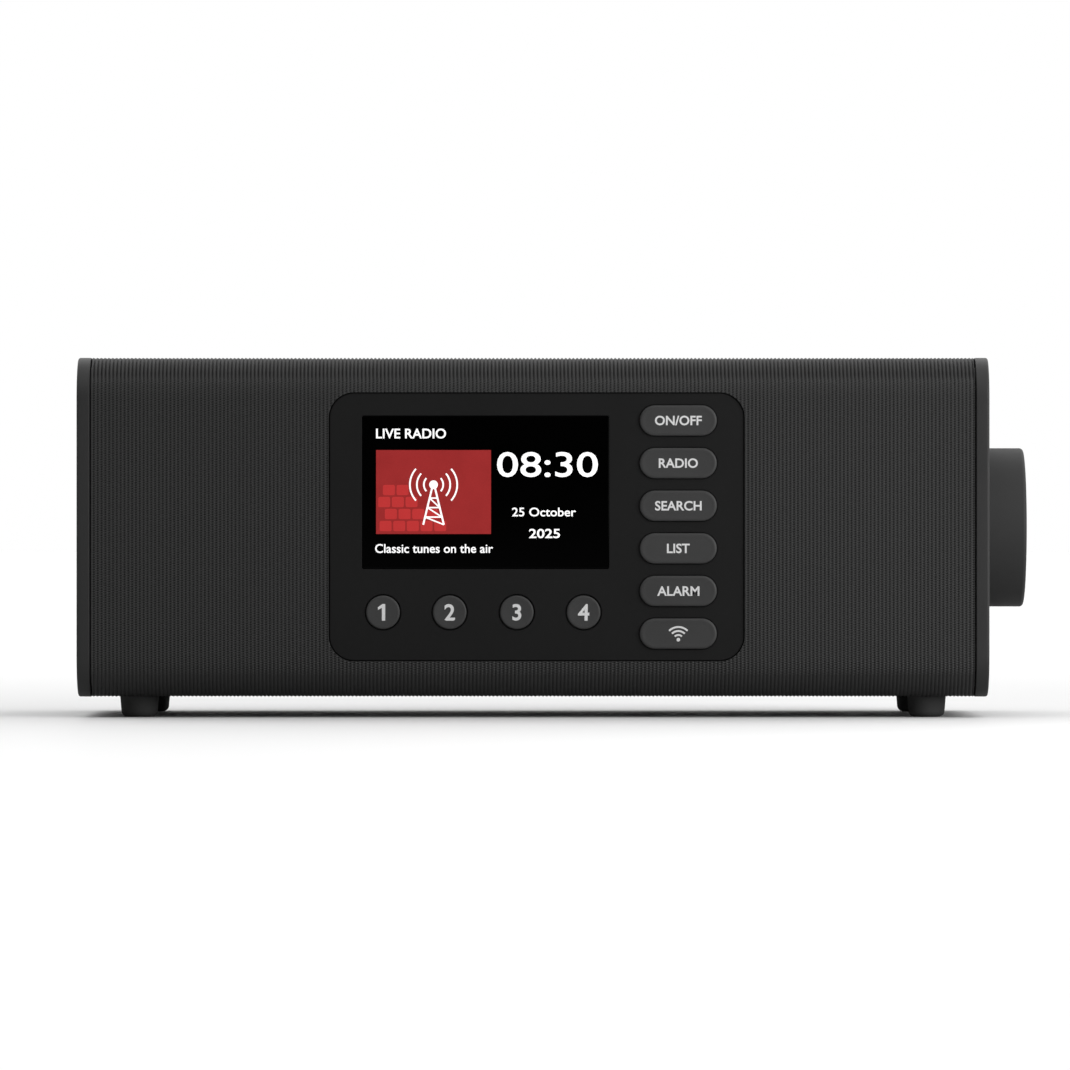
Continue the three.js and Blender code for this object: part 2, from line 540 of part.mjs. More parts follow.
// ---------------------------------------------------------------- rear cover screws
let count = 0;
for (const x of [-SCREW.x, SCREW.x])
  for (const z of SCREW.z) {
    const top = REAR_Y - 0.1, under = REAR_Y - 1.2;
    let screw = latheY(
      [[0, top - 12], [SCREW.shank * 0.4, top - 12], [SCREW.shank, top - 10.4], [SCREW.shank, under], [SCREW.head, under], [SCREW.head, top - 0.4], [SCREW.head - 0.5, top], [0, top]],
      x,
      z,
      10,
    );
    screw = cut(screw, box(x - 1.7, x + 1.7, top - 0.8, top + 1, z - 0.3, z + 0.3), box(x - 0.3, x + 0.3, top - 0.8, top + 1, z - 1.7, z + 1.7));
    add(cabinet, `rear_cover_screw_${++count}`, screw, "steel", [x, REAR_Y, z]);
  }

// ---------------------------------------------------------------- telescopic aerial
const aerial = group();
{
  const { x, z, y } = AERIAL;
  // A flanged bush in the cover, with the bore that the swivel's spindle turns in.
  const base = cut(
    join(cylY(6.6, REAR_Y + 0.3, REAR_Y + 1.7, x, z, 20), cylY(3.6, REAR_Y - 5, REAR_Y + 1, x, z, 14)),
    cylY(2.2, REAR_Y - 6, REAR_Y + 3, x, z, 12),
  );
  add(aerial, "aerial_base", base, "black", [x, REAR_Y, z]);
  // The swivel: a spindle, a disc, and two ears around the hinge pin.
  const ear = (z0, z1) => join(box(x - 2.9, x + 2.9, REAR_Y + 2.6, y, z0, z1), cylZ(2.9, z0, z1, x, y, 16));
  const swivel = cut(
    join(cylY(4.6, REAR_Y + 2.0, REAR_Y + 3.1, x, z, 18), cylY(1.8, REAR_Y - 4.5, REAR_Y + 2.4, x, z, 10), ear(z - 3.4, z - 1.9), ear(z + 1.9, z + 3.4)),
    cylZ(1.15, z - 5, z + 5, x, y, 10),
  );
  add(aerial, "aerial_swivel", swivel, "chrome", [x, REAR_Y, z]);
  add(aerial, "aerial_pin", cylZ(0.8, z - 3.3, z + 3.3, x, y, 8), "steel", [x, y, z]);
  // The mast's outer tube, with the tongue between the ears.
  const start = x - 4.3;
  const pipe = (r0, r1, xa, xb) => cut(cylX(r0, xa, xb, y, z, 12), cylX(r1, xa - 1, xb + 1, y, z, 12));
  const tube = cut(
    join(
      cut(cylX(2.9, start - TUBE_L, start, y, z, 14), cylX(2.5, start - TUBE_L - 1, start - 3, y, z, 14)),
      box(start - 0.5, x, y - 2.3, y + 2.3, z - 1.55, z + 1.55),
      cylZ(2.3, z - 1.55, z + 1.55, x, y, 14),
    ),
    cylZ(1.1, z - 5, z + 5, x, y, 10),
  );
  add(aerial, "aerial_mast_tube", tube, "chrome", [x, y, z]);
  const out = start - TUBE_L;
  add(aerial, "aerial_section_2", pipe(2.15, 1.8, out - 1.6, start - 5), "chrome", [out, y, z]);
  add(aerial, "aerial_section_3", pipe(1.45, 1.1, out - 3.2, start - 7), "chrome", [out, y, z]);
  const tip = join(
    cylX(0.75, out - 6, start - 9, y, z, 8),
    latheX([[0, out - 11.5], [1.6, out - 11.5], [2.6, out - 10.6], [2.6, out - 5.8], [2.1, out - 5.2], [0, out - 5.2]], y, z, 12),
  );
  add(aerial, "aerial_tip_section", tip, "chrome", [out, y, z]);
}

// The origin: the bottom centre of the whole radio's box.
const bounds = new THREE.Box3().setFromObject(radio);
const centre = bounds.getCenter(new THREE.Vector3());
radio.position.set(-centre.x, -centre.y, -bounds.min.z);

export default radio;
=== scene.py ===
import json
import math

import bmesh
import bpy
import numpy as np
from mathutils import Matrix, Vector

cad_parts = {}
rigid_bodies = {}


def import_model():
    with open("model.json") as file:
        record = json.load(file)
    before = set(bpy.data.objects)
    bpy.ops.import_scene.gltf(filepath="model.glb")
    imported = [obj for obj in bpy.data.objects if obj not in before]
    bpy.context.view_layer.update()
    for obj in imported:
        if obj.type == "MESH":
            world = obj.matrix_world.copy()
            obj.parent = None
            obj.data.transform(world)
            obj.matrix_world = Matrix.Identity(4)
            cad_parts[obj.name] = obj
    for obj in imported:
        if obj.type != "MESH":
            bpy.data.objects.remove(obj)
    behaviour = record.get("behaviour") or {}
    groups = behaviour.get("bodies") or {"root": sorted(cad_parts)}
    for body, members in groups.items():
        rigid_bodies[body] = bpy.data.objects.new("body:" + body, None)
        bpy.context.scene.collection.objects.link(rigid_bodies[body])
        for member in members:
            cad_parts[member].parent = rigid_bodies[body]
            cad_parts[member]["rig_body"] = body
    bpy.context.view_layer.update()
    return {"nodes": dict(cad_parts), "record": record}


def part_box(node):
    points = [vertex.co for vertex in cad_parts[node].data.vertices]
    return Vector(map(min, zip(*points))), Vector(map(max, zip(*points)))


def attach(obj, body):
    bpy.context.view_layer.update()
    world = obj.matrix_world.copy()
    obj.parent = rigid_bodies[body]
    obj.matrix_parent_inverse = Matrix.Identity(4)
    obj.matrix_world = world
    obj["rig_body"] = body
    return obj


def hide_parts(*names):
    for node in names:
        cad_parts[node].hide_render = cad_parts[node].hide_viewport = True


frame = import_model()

MM = 0.001

# The pieces are drawn in millimetres with X = 0 in the middle of the cabinet, Y = 0 at its front and Z = 0
# under the feet. These take them to the row frame.
_cap_lo, _cap_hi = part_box("left_end_cap")
DX = _cap_lo.x / MM + 137.0
DY = _cap_lo.y / MM


def to_row(v):
    v = np.asarray(v, float).reshape(-1, 3)
    return (v + np.array([DX, DY, 0.0])) * MM


BODY_OF = {n: o["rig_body"] for n, o in frame["nodes"].items()}
MID_Z = 57.25

# ------------------------------------------------------------------ mesh helpers


def make(name, verts, faces, mat, body, smooth=35):
    me = bpy.data.meshes.new(name)
    me.from_pydata([tuple(p) for p in to_row(verts)], [], [tuple(f) for f in faces])
    bm = bmesh.new()
    bm.from_mesh(me)
    bmesh.ops.remove_doubles(bm, verts=bm.verts, dist=1e-7)
    bmesh.ops.recalc_face_normals(bm, faces=bm.faces)
    bm.to_mesh(me)
    bm.free()
    me.validate()
    return wrap(name, me, mat, body, smooth)


def wrap(name, me, mat, body, smooth=35, flat_first=True):
    o = bpy.data.objects.new(name, me)
    bpy.context.scene.collection.objects.link(o)
    shade(me, smooth)
    if mat:
        me.materials.clear()
        me.materials.append(mat)
        if flat_first:
            m = o.modifiers.new("even_normals", "WEIGHTED_NORMAL")
            m.keep_sharp = True
            m.weight = 100
    if body:
        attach(o, body)
    return o


def shade(me, smooth):
    for p in me.polygons:
        p.use_smooth = True
    me.set_sharp_from_angle(angle=math.radians(smooth))


def loop_rr(w, h, r, n=8):
    """Points of a rounded rectangle round the origin, anticlockwise, 4 * (n + 1) of them."""
    r = max(min(r, w / 2 - 1e-4, h / 2 - 1e-4), 1e-4)
    pts = []
    for cx, cy, a0 in ((w / 2 - r, -h / 2 + r, -90), (w / 2 - r, h / 2 - r, 0), (-w / 2 + r, h / 2 - r, 90), (-w / 2 + r, -h / 2 + r, 180)):
        for i in range(n + 1):
            a = math.radians(a0 + 90 * i / n)
            pts.append((cx + r * math.cos(a), cy + r * math.sin(a)))
    return pts


def stack(loops):
    """Verts and faces of a solid through closed loops with the same count, capped at both ends."""
    n = len(loops[0])
    verts = [p for l in loops for p in l]
    faces = []
    for k in range(len(loops) - 1):
        for i in range(n):
            j = (i + 1) % n
            faces.append((k * n + i, k * n + j, (k + 1) * n + j, (k + 1) * n + i))
    for k in (0, len(loops) - 1):
        verts.append(tuple(np.mean(loops[k], 0)))
        c = len(verts) - 1
        for i in range(n):
            faces.append((c, k * n + i, k * n + (i + 1) % n))
    return verts, faces


def prism_y(w, h, r, stations, x, z, n=8):
    """A rounded rectangle in XZ, thick along Y. Stations are (y, inset)."""
    return stack([[(x + a, y, z + b) for a, b in loop_rr(w - 2 * d, h - 2 * d, r - d, n)] for y, d in stations])


def prism_x(w, h, r, stations, y, z, n=8):
    return stack([[(x, y + a, z + b) for a, b in loop_rr(w - 2 * d, h - 2 * d, r - d, n)] for x, d in stations])


def fillet(y0, sign, r, n=4):
    """Stations of a rounded edge that starts on the face at y0 and goes towards sign."""
    return [(y0, r + 0.5)] + [(y0 + sign * r * (1 - math.cos(math.pi / 2 * i / n)), r * (1 - math.sin(math.pi / 2 * i / n))) for i in range(n + 1)]


def revolve(profile, axis, at, n=64):
    """A closed (radius, along) profile turned about an axis. at is the other two coordinates."""
    verts, rings = [], []
    for r, t in profile:
        ring = []
        for i in range(1 if r < 1e-6 else n):
            a = 2 * math.pi * i / n
            c, s = r * math.cos(a), r * math.sin(a)
            p = {"x": (t, at[0] + c, at[1] + s), "y": (at[0] + c, t, at[1] + s), "z": (at[0] + c, at[1] + s, t)}[axis]
            ring.append(len(verts))
            verts.append(p)
        rings.append(ring)
    faces = []
    for a, b in zip(rings, rings[1:]):
        for i in range(n):
            j = (i + 1) % n
            if len(a) == 1 and len(b) == 1:
                continue
            if len(a) == 1:
                faces.append((a[0], b[i], b[j]))
            elif len(b) == 1:
                faces.append((a[i], a[j], b[0]))
            else:
                faces.append((a[i], a[j], b[j], b[i]))
    if rings[0] != rings[-1] and len(rings[0]) > 1 and len(rings[-1]) > 1:
        a, b = rings[-1], rings[0]
        for i in range(n):
            j = (i + 1) % n
            faces.append((a[i], a[j], b[j], b[i]))
    return verts, faces


def quarter(cr, ct, r, a0, a1, n=5):
    return [(cr + r * math.cos(math.radians(a0 + (a1 - a0) * i / n)), ct + r * math.sin(math.radians(a0 + (a1 - a0) * i / n))) for i in range(n + 1)]


def cut(obj, cutters, smooth=35, flat_axes=(0, 1, 2)):
    """obj less each cutter, as one mesh."""
    body = obj.get("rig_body")
    temps = []
    for i, (v, f) in enumerate(cutters):
        c = make("tmp_cut_%d" % i, v, f, None, None)
        m = obj.modifiers.new("cut%d" % i, "BOOLEAN")
        m.operation = "DIFFERENCE"
        m.object = c
        m.solver = "MANIFOLD"
        temps.append(c)
    dg = bpy.context.evaluated_depsgraph_get()
    me = bpy.data.meshes.new_from_object(obj.evaluated_get(dg))
    if len(me.polygons) < 4:
        raise RuntimeError("the cut of " + obj.name + " came out empty")
    even = any(m.type == "WEIGHTED_NORMAL" for m in obj.modifiers)
    obj.modifiers.clear()
    mats = [s for s in obj.data.materials]
    obj.data = me
    me.name = obj.name
    me.materials.clear()
    for m in mats:
        me.materials.append(m)
    for p in me.polygons:
        p.material_index = 0
    shade(me, smooth)
    if even:
        # the cut leaves long triangles on the plane faces, so those are shaded flat
        for p in me.polygons:
            if max(abs(p.normal[k]) for k in flat_axes) > 0.99999:
                p.use_smooth = False
        m = obj.modifiers.new("even_normals", "WEIGHTED_NORMAL")
        m.keep_sharp = True
        m.weight = 100
    for c in temps:
        d = c.data
        bpy.data.objects.remove(c)
        bpy.data.meshes.remove(d)
    return obj


def lettering(name, text, height, x, z, y, mat, body, bold=0.0, depth=0.03, by_width=None, spacing=1.0, squash=1.0):
    """Raised print facing -Y, its letters this high, its middle at x, z."""
    cu = bpy.data.curves.new(name, "FONT")
    cu.body = text
    cu.size = 1.0
    cu.offset = bold
    cu.space_character = spacing
    cu.resolution_u = 4
    t = bpy.data.objects.new(name, cu)
    bpy.context.scene.collection.objects.link(t)
    dg = bpy.context.evaluated_depsgraph_get()
    me = bpy.data.meshes.new_from_object(t.evaluated_get(dg))
    bpy.data.objects.remove(t)
    co = np.array([v.co for v in me.vertices], float)
    lo, hi = co.min(0), co.max(0)
    k = by_width / (hi[0] - lo[0]) if by_width else height / (hi[1] - lo[1])
    mid = (lo + hi) / 2
    flat = np.column_stack([(co[:, 0] - mid[0]) * k + x, np.full(len(co), y), (co[:, 1] - mid[1]) * k * squash + z])
    for v, p in zip(me.vertices, to_row(flat)):
        v.co = p
    bm = bmesh.new()
    bm.from_mesh(me)
    bmesh.ops.remove_doubles(bm, verts=bm.verts, dist=1e-7)
    r = bmesh.ops.extrude_face_region(bm, geom=bm.faces[:])
    bmesh.ops.translate(bm, verts=[g for g in r["geom"] if isinstance(g, bmesh.types.BMVert)], vec=(0, -depth * MM, 0))
    bmesh.ops.recalc_face_normals(bm, faces=bm.faces)
    bm.to_mesh(me)
    bm.free()
    me.name = name
    return wrap(name, me, mat, body, 30, False)


# ------------------------------------------------------------------ materials


def material(name, color, rough, metal=0.0, var=0.12, rough_var=0.08, grain=2600, bump=0.12, wear=0.0, specular=0.5, coat=0.0, emission=None, strength=0.0, stretch=(1, 1, 1), blotch=35):
    m = bpy.data.materials.new(name)
    m.use_nodes = True
    nt = m.node_tree
    N, L = nt.nodes, nt.links
    b = N["Principled BSDF"]
    b.inputs["Metallic"].default_value = metal
    b.inputs["Specular IOR Level"].default_value = specular
    if coat:
        b.inputs["Coat Weight"].default_value = coat
        b.inputs["Coat Roughness"].default_value = 0.05
    tc = N.new("ShaderNodeTexCoord")
    mp = N.new("ShaderNodeMapping")
    mp.inputs["Scale"].default_value = stretch
    L.new(tc.outputs["Object"], mp.inputs["Vector"])
    fine = N.new("ShaderNodeTexNoise")
    fine.inputs["Scale"].default_value = grain
    fine.inputs["Detail"].default_value = 3
    L.new(mp.outputs["Vector"], fine.inputs["Vector"])
    wide = N.new("ShaderNodeTexNoise")
    wide.inputs["Scale"].default_value = blotch
    wide.inputs["Detail"].default_value = 4
    L.new(tc.outputs["Object"], wide.inputs["Vector"])
    both = N.new("ShaderNodeMix")
    both.data_type = "FLOAT"
    both.inputs["Factor"].default_value = 0.5
    L.new(fine.outputs["Fac"], both.inputs["A"])
    L.new(wide.outputs["Fac"], both.inputs["B"])
    ramp = N.new("ShaderNodeValToRGB")
    lo = [c * (1 - var) for c in color]
    hi = [min(c * (1 + var), 1) for c in color]
    ramp.color_ramp.elements[0].position = 0.3
    ramp.color_ramp.elements[0].color = (*lo, 1)
    ramp.color_ramp.elements[1].position = 0.7
    ramp.color_ramp.elements[1].color = (*hi, 1)
    L.new(both.outputs["Result"], ramp.inputs["Fac"])
    last = ramp.outputs["Color"]
    if wear:
        geo = N.new("ShaderNodeNewGeometry")
        pr = N.new("ShaderNodeMapRange")
        pr.inputs["From Min"].default_value = 0.53
        pr.inputs["From Max"].default_value = 0.62
        pr.inputs["To Max"].default_value = wear
        L.new(geo.outputs["Pointiness"], pr.inputs["Value"])
        mix = N.new("ShaderNodeMix")
        mix.data_type = "RGBA"
        mix.inputs["B"].default_value = (*[min(c * 2.2 + 0.02, 1) for c in color], 1)
        L.new(pr.outputs["Result"], mix.inputs["Factor"])
        L.new(last, mix.inputs["A"])
        last = mix.outputs["Result"]
    L.new(last, b.inputs["Base Color"])
    rr = N.new("ShaderNodeMapRange")
    rr.inputs["From Min"].default_value = 0.3
    rr.inputs["From Max"].default_value = 0.7
    rr.inputs["To Min"].default_value = max(rough - rough_var, 0.02)
    rr.inputs["To Max"].default_value = min(rough + rough_var, 1)
    L.new(both.outputs["Result"], rr.inputs["Value"])
    L.new(rr.outputs["Result"], b.inputs["Roughness"])
    if bump:
        bp = N.new("ShaderNodeBump")
        bp.inputs["Strength"].default_value = bump
        bp.inputs["Distance"].default_value = 0.00012
        L.new(fine.outputs["Fac"], bp.inputs["Height"])
        L.new(bp.outputs["Normal"], b.inputs["Normal"])
    if emission:
        L.new(last, b.inputs["Emission Color"])
        b.inputs["Emission Strength"].default_value = strength
    return m


def grey(v):
    """Linear value of an 8-bit grey."""
    v = v / 255
    return v / 12.92 if v <= 0.04045 else ((v + 0.055) / 1.055) ** 2.4


def g(v, tint=(1, 1, 1)):
    return [grey(v) * t for t in tint]


M = {
    "cover": material("cover_plastic", g(34), 0.55, specular=0.3, grain=3500, bump=0.12),
    "cap": material("cap_plastic", g(43), 0.5, wear=0.15, specular=0.35, grain=3500, bump=0.1),
    "panel": material("panel_plastic", g(12), 0.55, specular=0.25, grain=4200, bump=0.1),
    "key": material("key_plastic", g(58), 0.5, specular=0.3, grain=4200, bump=0.08),
    "knob": material("knob_plastic", g(55), 0.6, wear=0.15, specular=0.2, grain=3500, bump=0.06),
    "window": material("window_glass", g(1), 0.06, var=0.3, rough_var=0.02, bump=0.0, specular=0.04),
    "lcd": material("lcd_film", g(12), 0.25, var=0.2),
    "foot": material("foot_rubber", g(52), 0.8, wear=0.2, grain=1800, bump=0.3),
    "silicone": material("silicone", g(95), 0.7, var=0.08, grain=1500, bump=0.15),
    "board": material("solder_resist", [0.006, 0.06, 0.025], 0.35, var=0.3, grain=700, bump=0.15),
    "can": material("tinned_steel", [0.55, 0.56, 0.57], 0.35, 1.0, grain=900, stretch=(1, 12, 1), bump=0.1),
    "heatsink": material("heatsink_alu", [0.5, 0.51, 0.53], 0.4, 1.0, grain=900, stretch=(1, 12, 1), bump=0.15),
    "black": material("moulded_black", g(26), 0.5, wear=0.2, grain=3000, bump=0.12),
    "chrome": material("aerial_chrome", [0.72, 0.73, 0.74], 0.12, 1.0, var=0.05, rough_var=0.05, grain=1400, stretch=(0.1, 1, 1), bump=0.03),
    "steel": material("plated_steel", [0.42, 0.42, 0.44], 0.32, 1.0, var=0.15, grain=1500, bump=0.1, wear=0.2),
    "cone": material("coated_paper", g(30), 0.75, var=0.25, grain=900, bump=0.5),
    "surround": material("surround_rubber", g(20), 0.55, grain=1800, bump=0.1),
    "magnet": material("ferrite", g(60), 0.6, 0.3, var=0.25, grain=900, bump=0.3),
    "wire": material("wire_pvc", [0.25, 0.02, 0.02], 0.45, grain=1500, bump=0.05),
    "ribbon": material("ribbon_pvc", g(180), 0.5, grain=1500, stretch=(6, 0.3, 0.3), bump=0.3),
    "print": material("legend_print", g(222), 0.55, var=0.05, grain=3000, bump=0.05),
    "screen_white": material("screen_white", g(225), 0.4, var=0.02, bump=0.0, emission=True, strength=0.8),
    "screen_dim": material("screen_dim", g(150), 0.4, var=0.02, bump=0.0, emission=True, strength=0.8),
    "screen_block": material("screen_block", [0.43, 0.027, 0.027], 0.5, var=0.06, specular=0.15, bump=0.0, emission=True, strength=0.42, blotch=120),
    "screen_red": material("screen_red", [0.27, 0.018, 0.018], 0.5, var=0.1, specular=0.15, bump=0.0, emission=True, strength=0.42, blotch=180),
}


def grille_material_with_painted_shade():
    """Black plastic whose dimples and valleys are painted darker than its ribs, g(20) against g(44), from the mesh's
    depth attribute: painted shade in the recesses.
    """
    m = material("grille_plastic_painted_shade", g(44), 0.6, var=0.12, grain=3000, bump=0.08, specular=0.35)
    N, L = m.node_tree.nodes, m.node_tree.links
    b = N["Principled BSDF"]
    was = b.inputs["Base Color"].links[0].from_socket
    at = N.new("ShaderNodeAttribute")
    at.attribute_name = "painted_recess_shade"
    # painted shade: the deeper a point of the dimples and valleys, the nearer its colour goes to this dark grey
    mix = N.new("ShaderNodeMix")
    mix.data_type = "RGBA"
    mix.inputs["B"].default_value = (*g(20), 1)
    low = N.new("ShaderNodeMapRange")
    low.inputs["From Min"].default_value = 0.3
    low.inputs["From Max"].default_value = 0.7
    L.new(at.outputs["Fac"], low.inputs["Value"])
    L.new(low.outputs["Result"], mix.inputs["Factor"])
    L.new(was, mix.inputs["A"])
    L.new(mix.outputs["Result"], b.inputs["Base Color"])
    return m


M["grille"] = grille_material_with_painted_shade()

SLOT_LOOK = {"grille": "grille", "cap": "cap", "panel": "panel", "key": "key", "window": "window", "lcd": "lcd", "foot": "foot",
             "silicone": "silicone", "board": "board", "can": "can", "heatsink": "heatsink", "black_plastic": "black", "chrome": "chrome",
             "steel": "steel", "cone": "cone", "surround": "surround", "magnet": "magnet", "wire": "wire", "ribbon": "ribbon"}
SLOT_OF = {s["node"]: s["material_slot"] for s in frame["record"]["subparts"]}
for n, o in frame["nodes"].items():
    look = M[SLOT_LOOK[SLOT_OF[n]]]
    if not o.material_slots:
        o.data.materials.append(look)
    for s in o.material_slots:
        s.material = look


def stands_for(obj, node):
    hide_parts(node)
    return obj


# ------------------------------------------------------------------ grille sleeve
COLS = 231
HALF = 132.6
PITCH = 2 * HALF / COLS
ROW = 0.3675
CREST, VALLEY, DIMPLE = 0.27, 0.04, 0.38  # rib tops above the sleeve's own surface; depths below the tops


def sleeve():
    w, h, r = 117.4, 101.5, 12.2  # depth, height and corner of the outer profile
    y0, z0 = 0.3, 6.5
    path = []  # (y, z, normal y, normal z, strength of the dimples)

    def straight(a, b, steps, nrm, s):
        for i in range(steps):
            t = i / steps
            path.append((a[0] + (b[0] - a[0]) * t, a[1] + (b[1] - a[1]) * t, nrm[0], nrm[1], s))

    def corner(cy, cz, a0, a1, steps, f):
        for i in range(steps):
            t = i / steps
            a = math.radians(a0 + (a1 - a0) * t)
            path.append((cy + r * math.cos(a), cz + r * math.sin(a), math.cos(a), math.sin(a), f(t)))

    front = int(round((h - 2 * r) / ROW / 2)) * 2
    arc = 24

    def face_corner(cy, cz, low, f):
        """A corner of the face, its rows evenly spaced in height, as the holes are drawn from the front."""
        for i in range(arc):
            t = i / arc
            sn = math.sin(math.radians(45)) * ((t - 1) if low else t)
            cs = -math.sqrt(1 - sn * sn)
            path.append((cy + r * cs, cz + r * sn, cs, sn, f(t)))

    # up the front, over the top, down the back, and along the bottom
    face_corner(y0 + r, z0 + r, True, lambda t: min(1.0, max(0.0, (t - 0.1) / 0.4)))
    straight((y0, z0 + r), (y0, z0 + h - r), front, (-1, 0), 1.0)
    face_corner(y0 + r, z0 + h - r, False, lambda t: min(1.0, max(0.0, (0.85 - t) / 0.25)))
    corner(y0 + r, z0 + h - r, 135, 90, 6, lambda t: 0)
    straight((y0 + r, z0 + h), (y0 + w - r, z0 + h), 4, (0, 1), 0)
    corner(y0 + w - r, z0 + h - r, 90, 0, 12, lambda t: 0)
    straight((y0 + w, z0 + h - r), (y0 + w, z0 + r), 4, (1, 0), 0)
    corner(y0 + w - r, z0 + r, 0, -90, 12, lambda t: 0)
    straight((y0 + w - r, z0), (y0 + r, z0), 4, (0, -1), 0)
    corner(y0 + r, z0 + r, 270, 225, 6, lambda t: 0)
    rows = len(path)
    xs = [-HALF]  # each rib: its flat top, then the valley to the next one
    for k in range(COLS):
        x = -HALF + k * PITCH
        xs += [x + 0.2 * PITCH, x + 0.6 * PITCH, x + PITCH]
    P = np.array(path)
    odd_row = np.arange(rows) % 2
    verts = np.zeros((len(xs), rows, 3))
    depth = np.zeros((len(xs), rows))
    for i, x in enumerate(xs):
        if i % 3 == 2:
            hole = (odd_row == ((i // 3) % 2)).astype(float) * P[:, 4]
            valley = VALLEY + np.where((P[:, 0] < 14) & (P[:, 1] < 30), 0.2, 0.38) * (1 - P[:, 4])  # deeper where the ribs leave the front
            depth[i] = valley + max(DIMPLE - VALLEY, 0) * hole
        verts[i, :, 0] = x
        verts[i, :, 1] = P[:, 0] + P[:, 2] * (CREST - depth[i])
        verts[i, :, 2] = P[:, 1] + P[:, 3] * (CREST - depth[i])
    inner = np.zeros((2, rows, 3))
    for k, x in enumerate((-HALF, HALF)):
        inner[k, :, 0] = x
        inner[k, :, 1] = P[:, 0] - P[:, 2] * 2.2
        inner[k, :, 2] = P[:, 1] - P[:, 3] * 2.2
    n = len(xs)
    i, j = np.meshgrid(np.arange(n - 1), np.arange(rows), indexing="ij")
    jn = (j + 1) % rows
    outer = np.stack([i * rows + j, (i + 1) * rows + j, (i + 1) * rows + jn, i * rows + jn], -1).reshape(-1, 4)
    base = n * rows
    j = np.arange(rows)
    jn = (j + 1) % rows
    ring0 = np.stack([j, jn, base + jn, base + j], -1)
    ring1 = np.stack([(n - 1) * rows + j, base + rows + j, base + rows + jn, (n - 1) * rows + jn], -1)
    inside = np.stack([base + j, base + jn, base + rows + jn, base + rows + j], -1)
    faces = np.concatenate([outer, ring0, ring1, inside])
    allv = np.concatenate([verts.reshape(-1, 3), inner.reshape(-1, 3)])
    me = bpy.data.meshes.new("grille")
    me.from_pydata(to_row(allv).tolist(), [], faces.tolist())
    # each point's depth as a share of the dimple depth, which the grille material turns into painted shade in the
    # dimples and valleys
    at = me.attributes.new("painted_recess_shade", "FLOAT", "POINT")
    painted_shade_share = np.clip(depth / DIMPLE, 0, 1)
    at.data.foreach_set("value", np.concatenate([painted_shade_share.ravel(), np.zeros(2 * rows)]).astype(np.float32))
    bm = bmesh.new()
    bm.from_mesh(me)
    bmesh.ops.recalc_face_normals(bm, faces=bm.faces)
    bm.to_mesh(me)
    bm.free()
    o = wrap("grille_sleeve_ribbed", me, M["grille"], "cabinet", 26, False)
    window = prism_y(124.85, 80.75, 7.62, [(-2, 0), (6, 0)], 1.1, 57.35, 14)
    back = prism_y(244, 74, 5, [(113, 0), (121, 0)], 0, MID_Z, 10)
    cutters = [window, back]
    for x in (-118.9, 118.9):
        for y in (19, 99):
            cutters.append(revolve([(0, 5), (2.9, 5), (2.9, 11), (0, 11)], "z", (x, y), 24))
    cut(o, cutters, 26)
    return stands_for(o, "grille_sleeve")


sleeve()

# ------------------------------------------------------------------ end caps
for side, s in (("left", -1), ("right", 1)):
    outer, innr = s * 137.0, s * 133.1
    st = fillet(outer, -s, 0.7, 6) + [(innr + s * 0.25, 0.0), (innr, 0.25), (innr, 2.95), (innr - s * 3.6, 2.95), (innr - s * 4, 3.3)]
    v, f = prism_x(118, 102.1, 12.5, st, 59, MID_Z, 16)
    o = make(side + "_end_cap_moulded", v, f, M["cap"], "cabinet", 40)
    if side == "right":
        cut(o, [revolve([(0, 126), (4.9, 126), (4.9, 139), (0, 139)], "x", (55, MID_Z), 48)], 40, (0,))
    stands_for(o, side + "_end_cap")

# ------------------------------------------------------------------ control panel
PRESET_X, PRESET_Z = [-45, -25, -4.85, 15.2], 31.7
FUN_X, FUN_Z = 43.6, [89.25 - 12.79 * i for i in range(6)]
v, f = prism_y(124.6, 80.5, 7.5, fillet(0.7, 1, 0.35, 4) + [(3.3, 0), (3.3, -1.5), (4.6, -1.5)], 1.1, 57.35, 16)  # with the flange behind the sleeve
panel = make("control_panel_moulded", v, f, M["panel"], "cabinet", 40)


def flared(w, h, r, x, z, y0, y1, c=0.15, n=12):
    """A cutter whose mouth opens by a small chamfer at the panel's face."""
    return prism_y(w, h, r, [(y0 - 1, -c - 1), (y0, -c), (y0 + c, 0), (y1, 0)], x, z, n)


cuts = [flared(74.2, 46.1, 0.6, -14.25, 67.7, 0.7, 2.03, 0.1, 4), prism_y(68.8, 41.2, 0.4, [(0, 0), (6, 0)], -14.25, 67.7, 2)]
cuts += [flared(10.8, 10.8, 5.4, x, PRESET_Z, 0.7, 6, 0.12, 14) for x in PRESET_X]
cuts += [flared(23.5, 9.5, 4.75, FUN_X, z, 0.7, 6, 0.06, 12) for z in FUN_Z]
# the pockets behind, which the keys' flanges sit in
cuts += [prism_y(13.5, 13.5, 6.75, [(2.7, 0), (6, 0)], x, PRESET_Z, 14) for x in PRESET_X]
cuts += [prism_y(26, 12, 6, [(2.7, 0), (6, 0)], FUN_X, z, 12) for z in FUN_Z]
cut(panel, cuts, 40)
stands_for(panel, "control_panel")

# ------------------------------------------------------------------ display
v, f = prism_y(73.9, 45.8, 0.45, [(0.78, 0.42), (0.78, 0.12), (0.84, 0.03), (0.9, 0), (1.78, 0)], -14.25, 67.7, 6)
stands_for(make("display_window_glass", v, f, M["window"], "cabinet", 40), "display_window")
SY = 0.77  # the picture lies on the glass


def at(u, v):
    """A point of the front plane, for a layout drawn in 0.3 mm units round the eye line."""
    return 0.6 + (u - 535) * 0.3, 54.9 - (v - 535) * 0.3


def line(name, text, u0, u1, v, mat, bold, squash=1.0):
    x, z = at((u0 + u1) / 2, v)
    return lettering(name, text, 1, x, z, SY, M[mat], "cabinet", bold=bold, by_width=(u1 - u0) * 0.3, squash=squash)


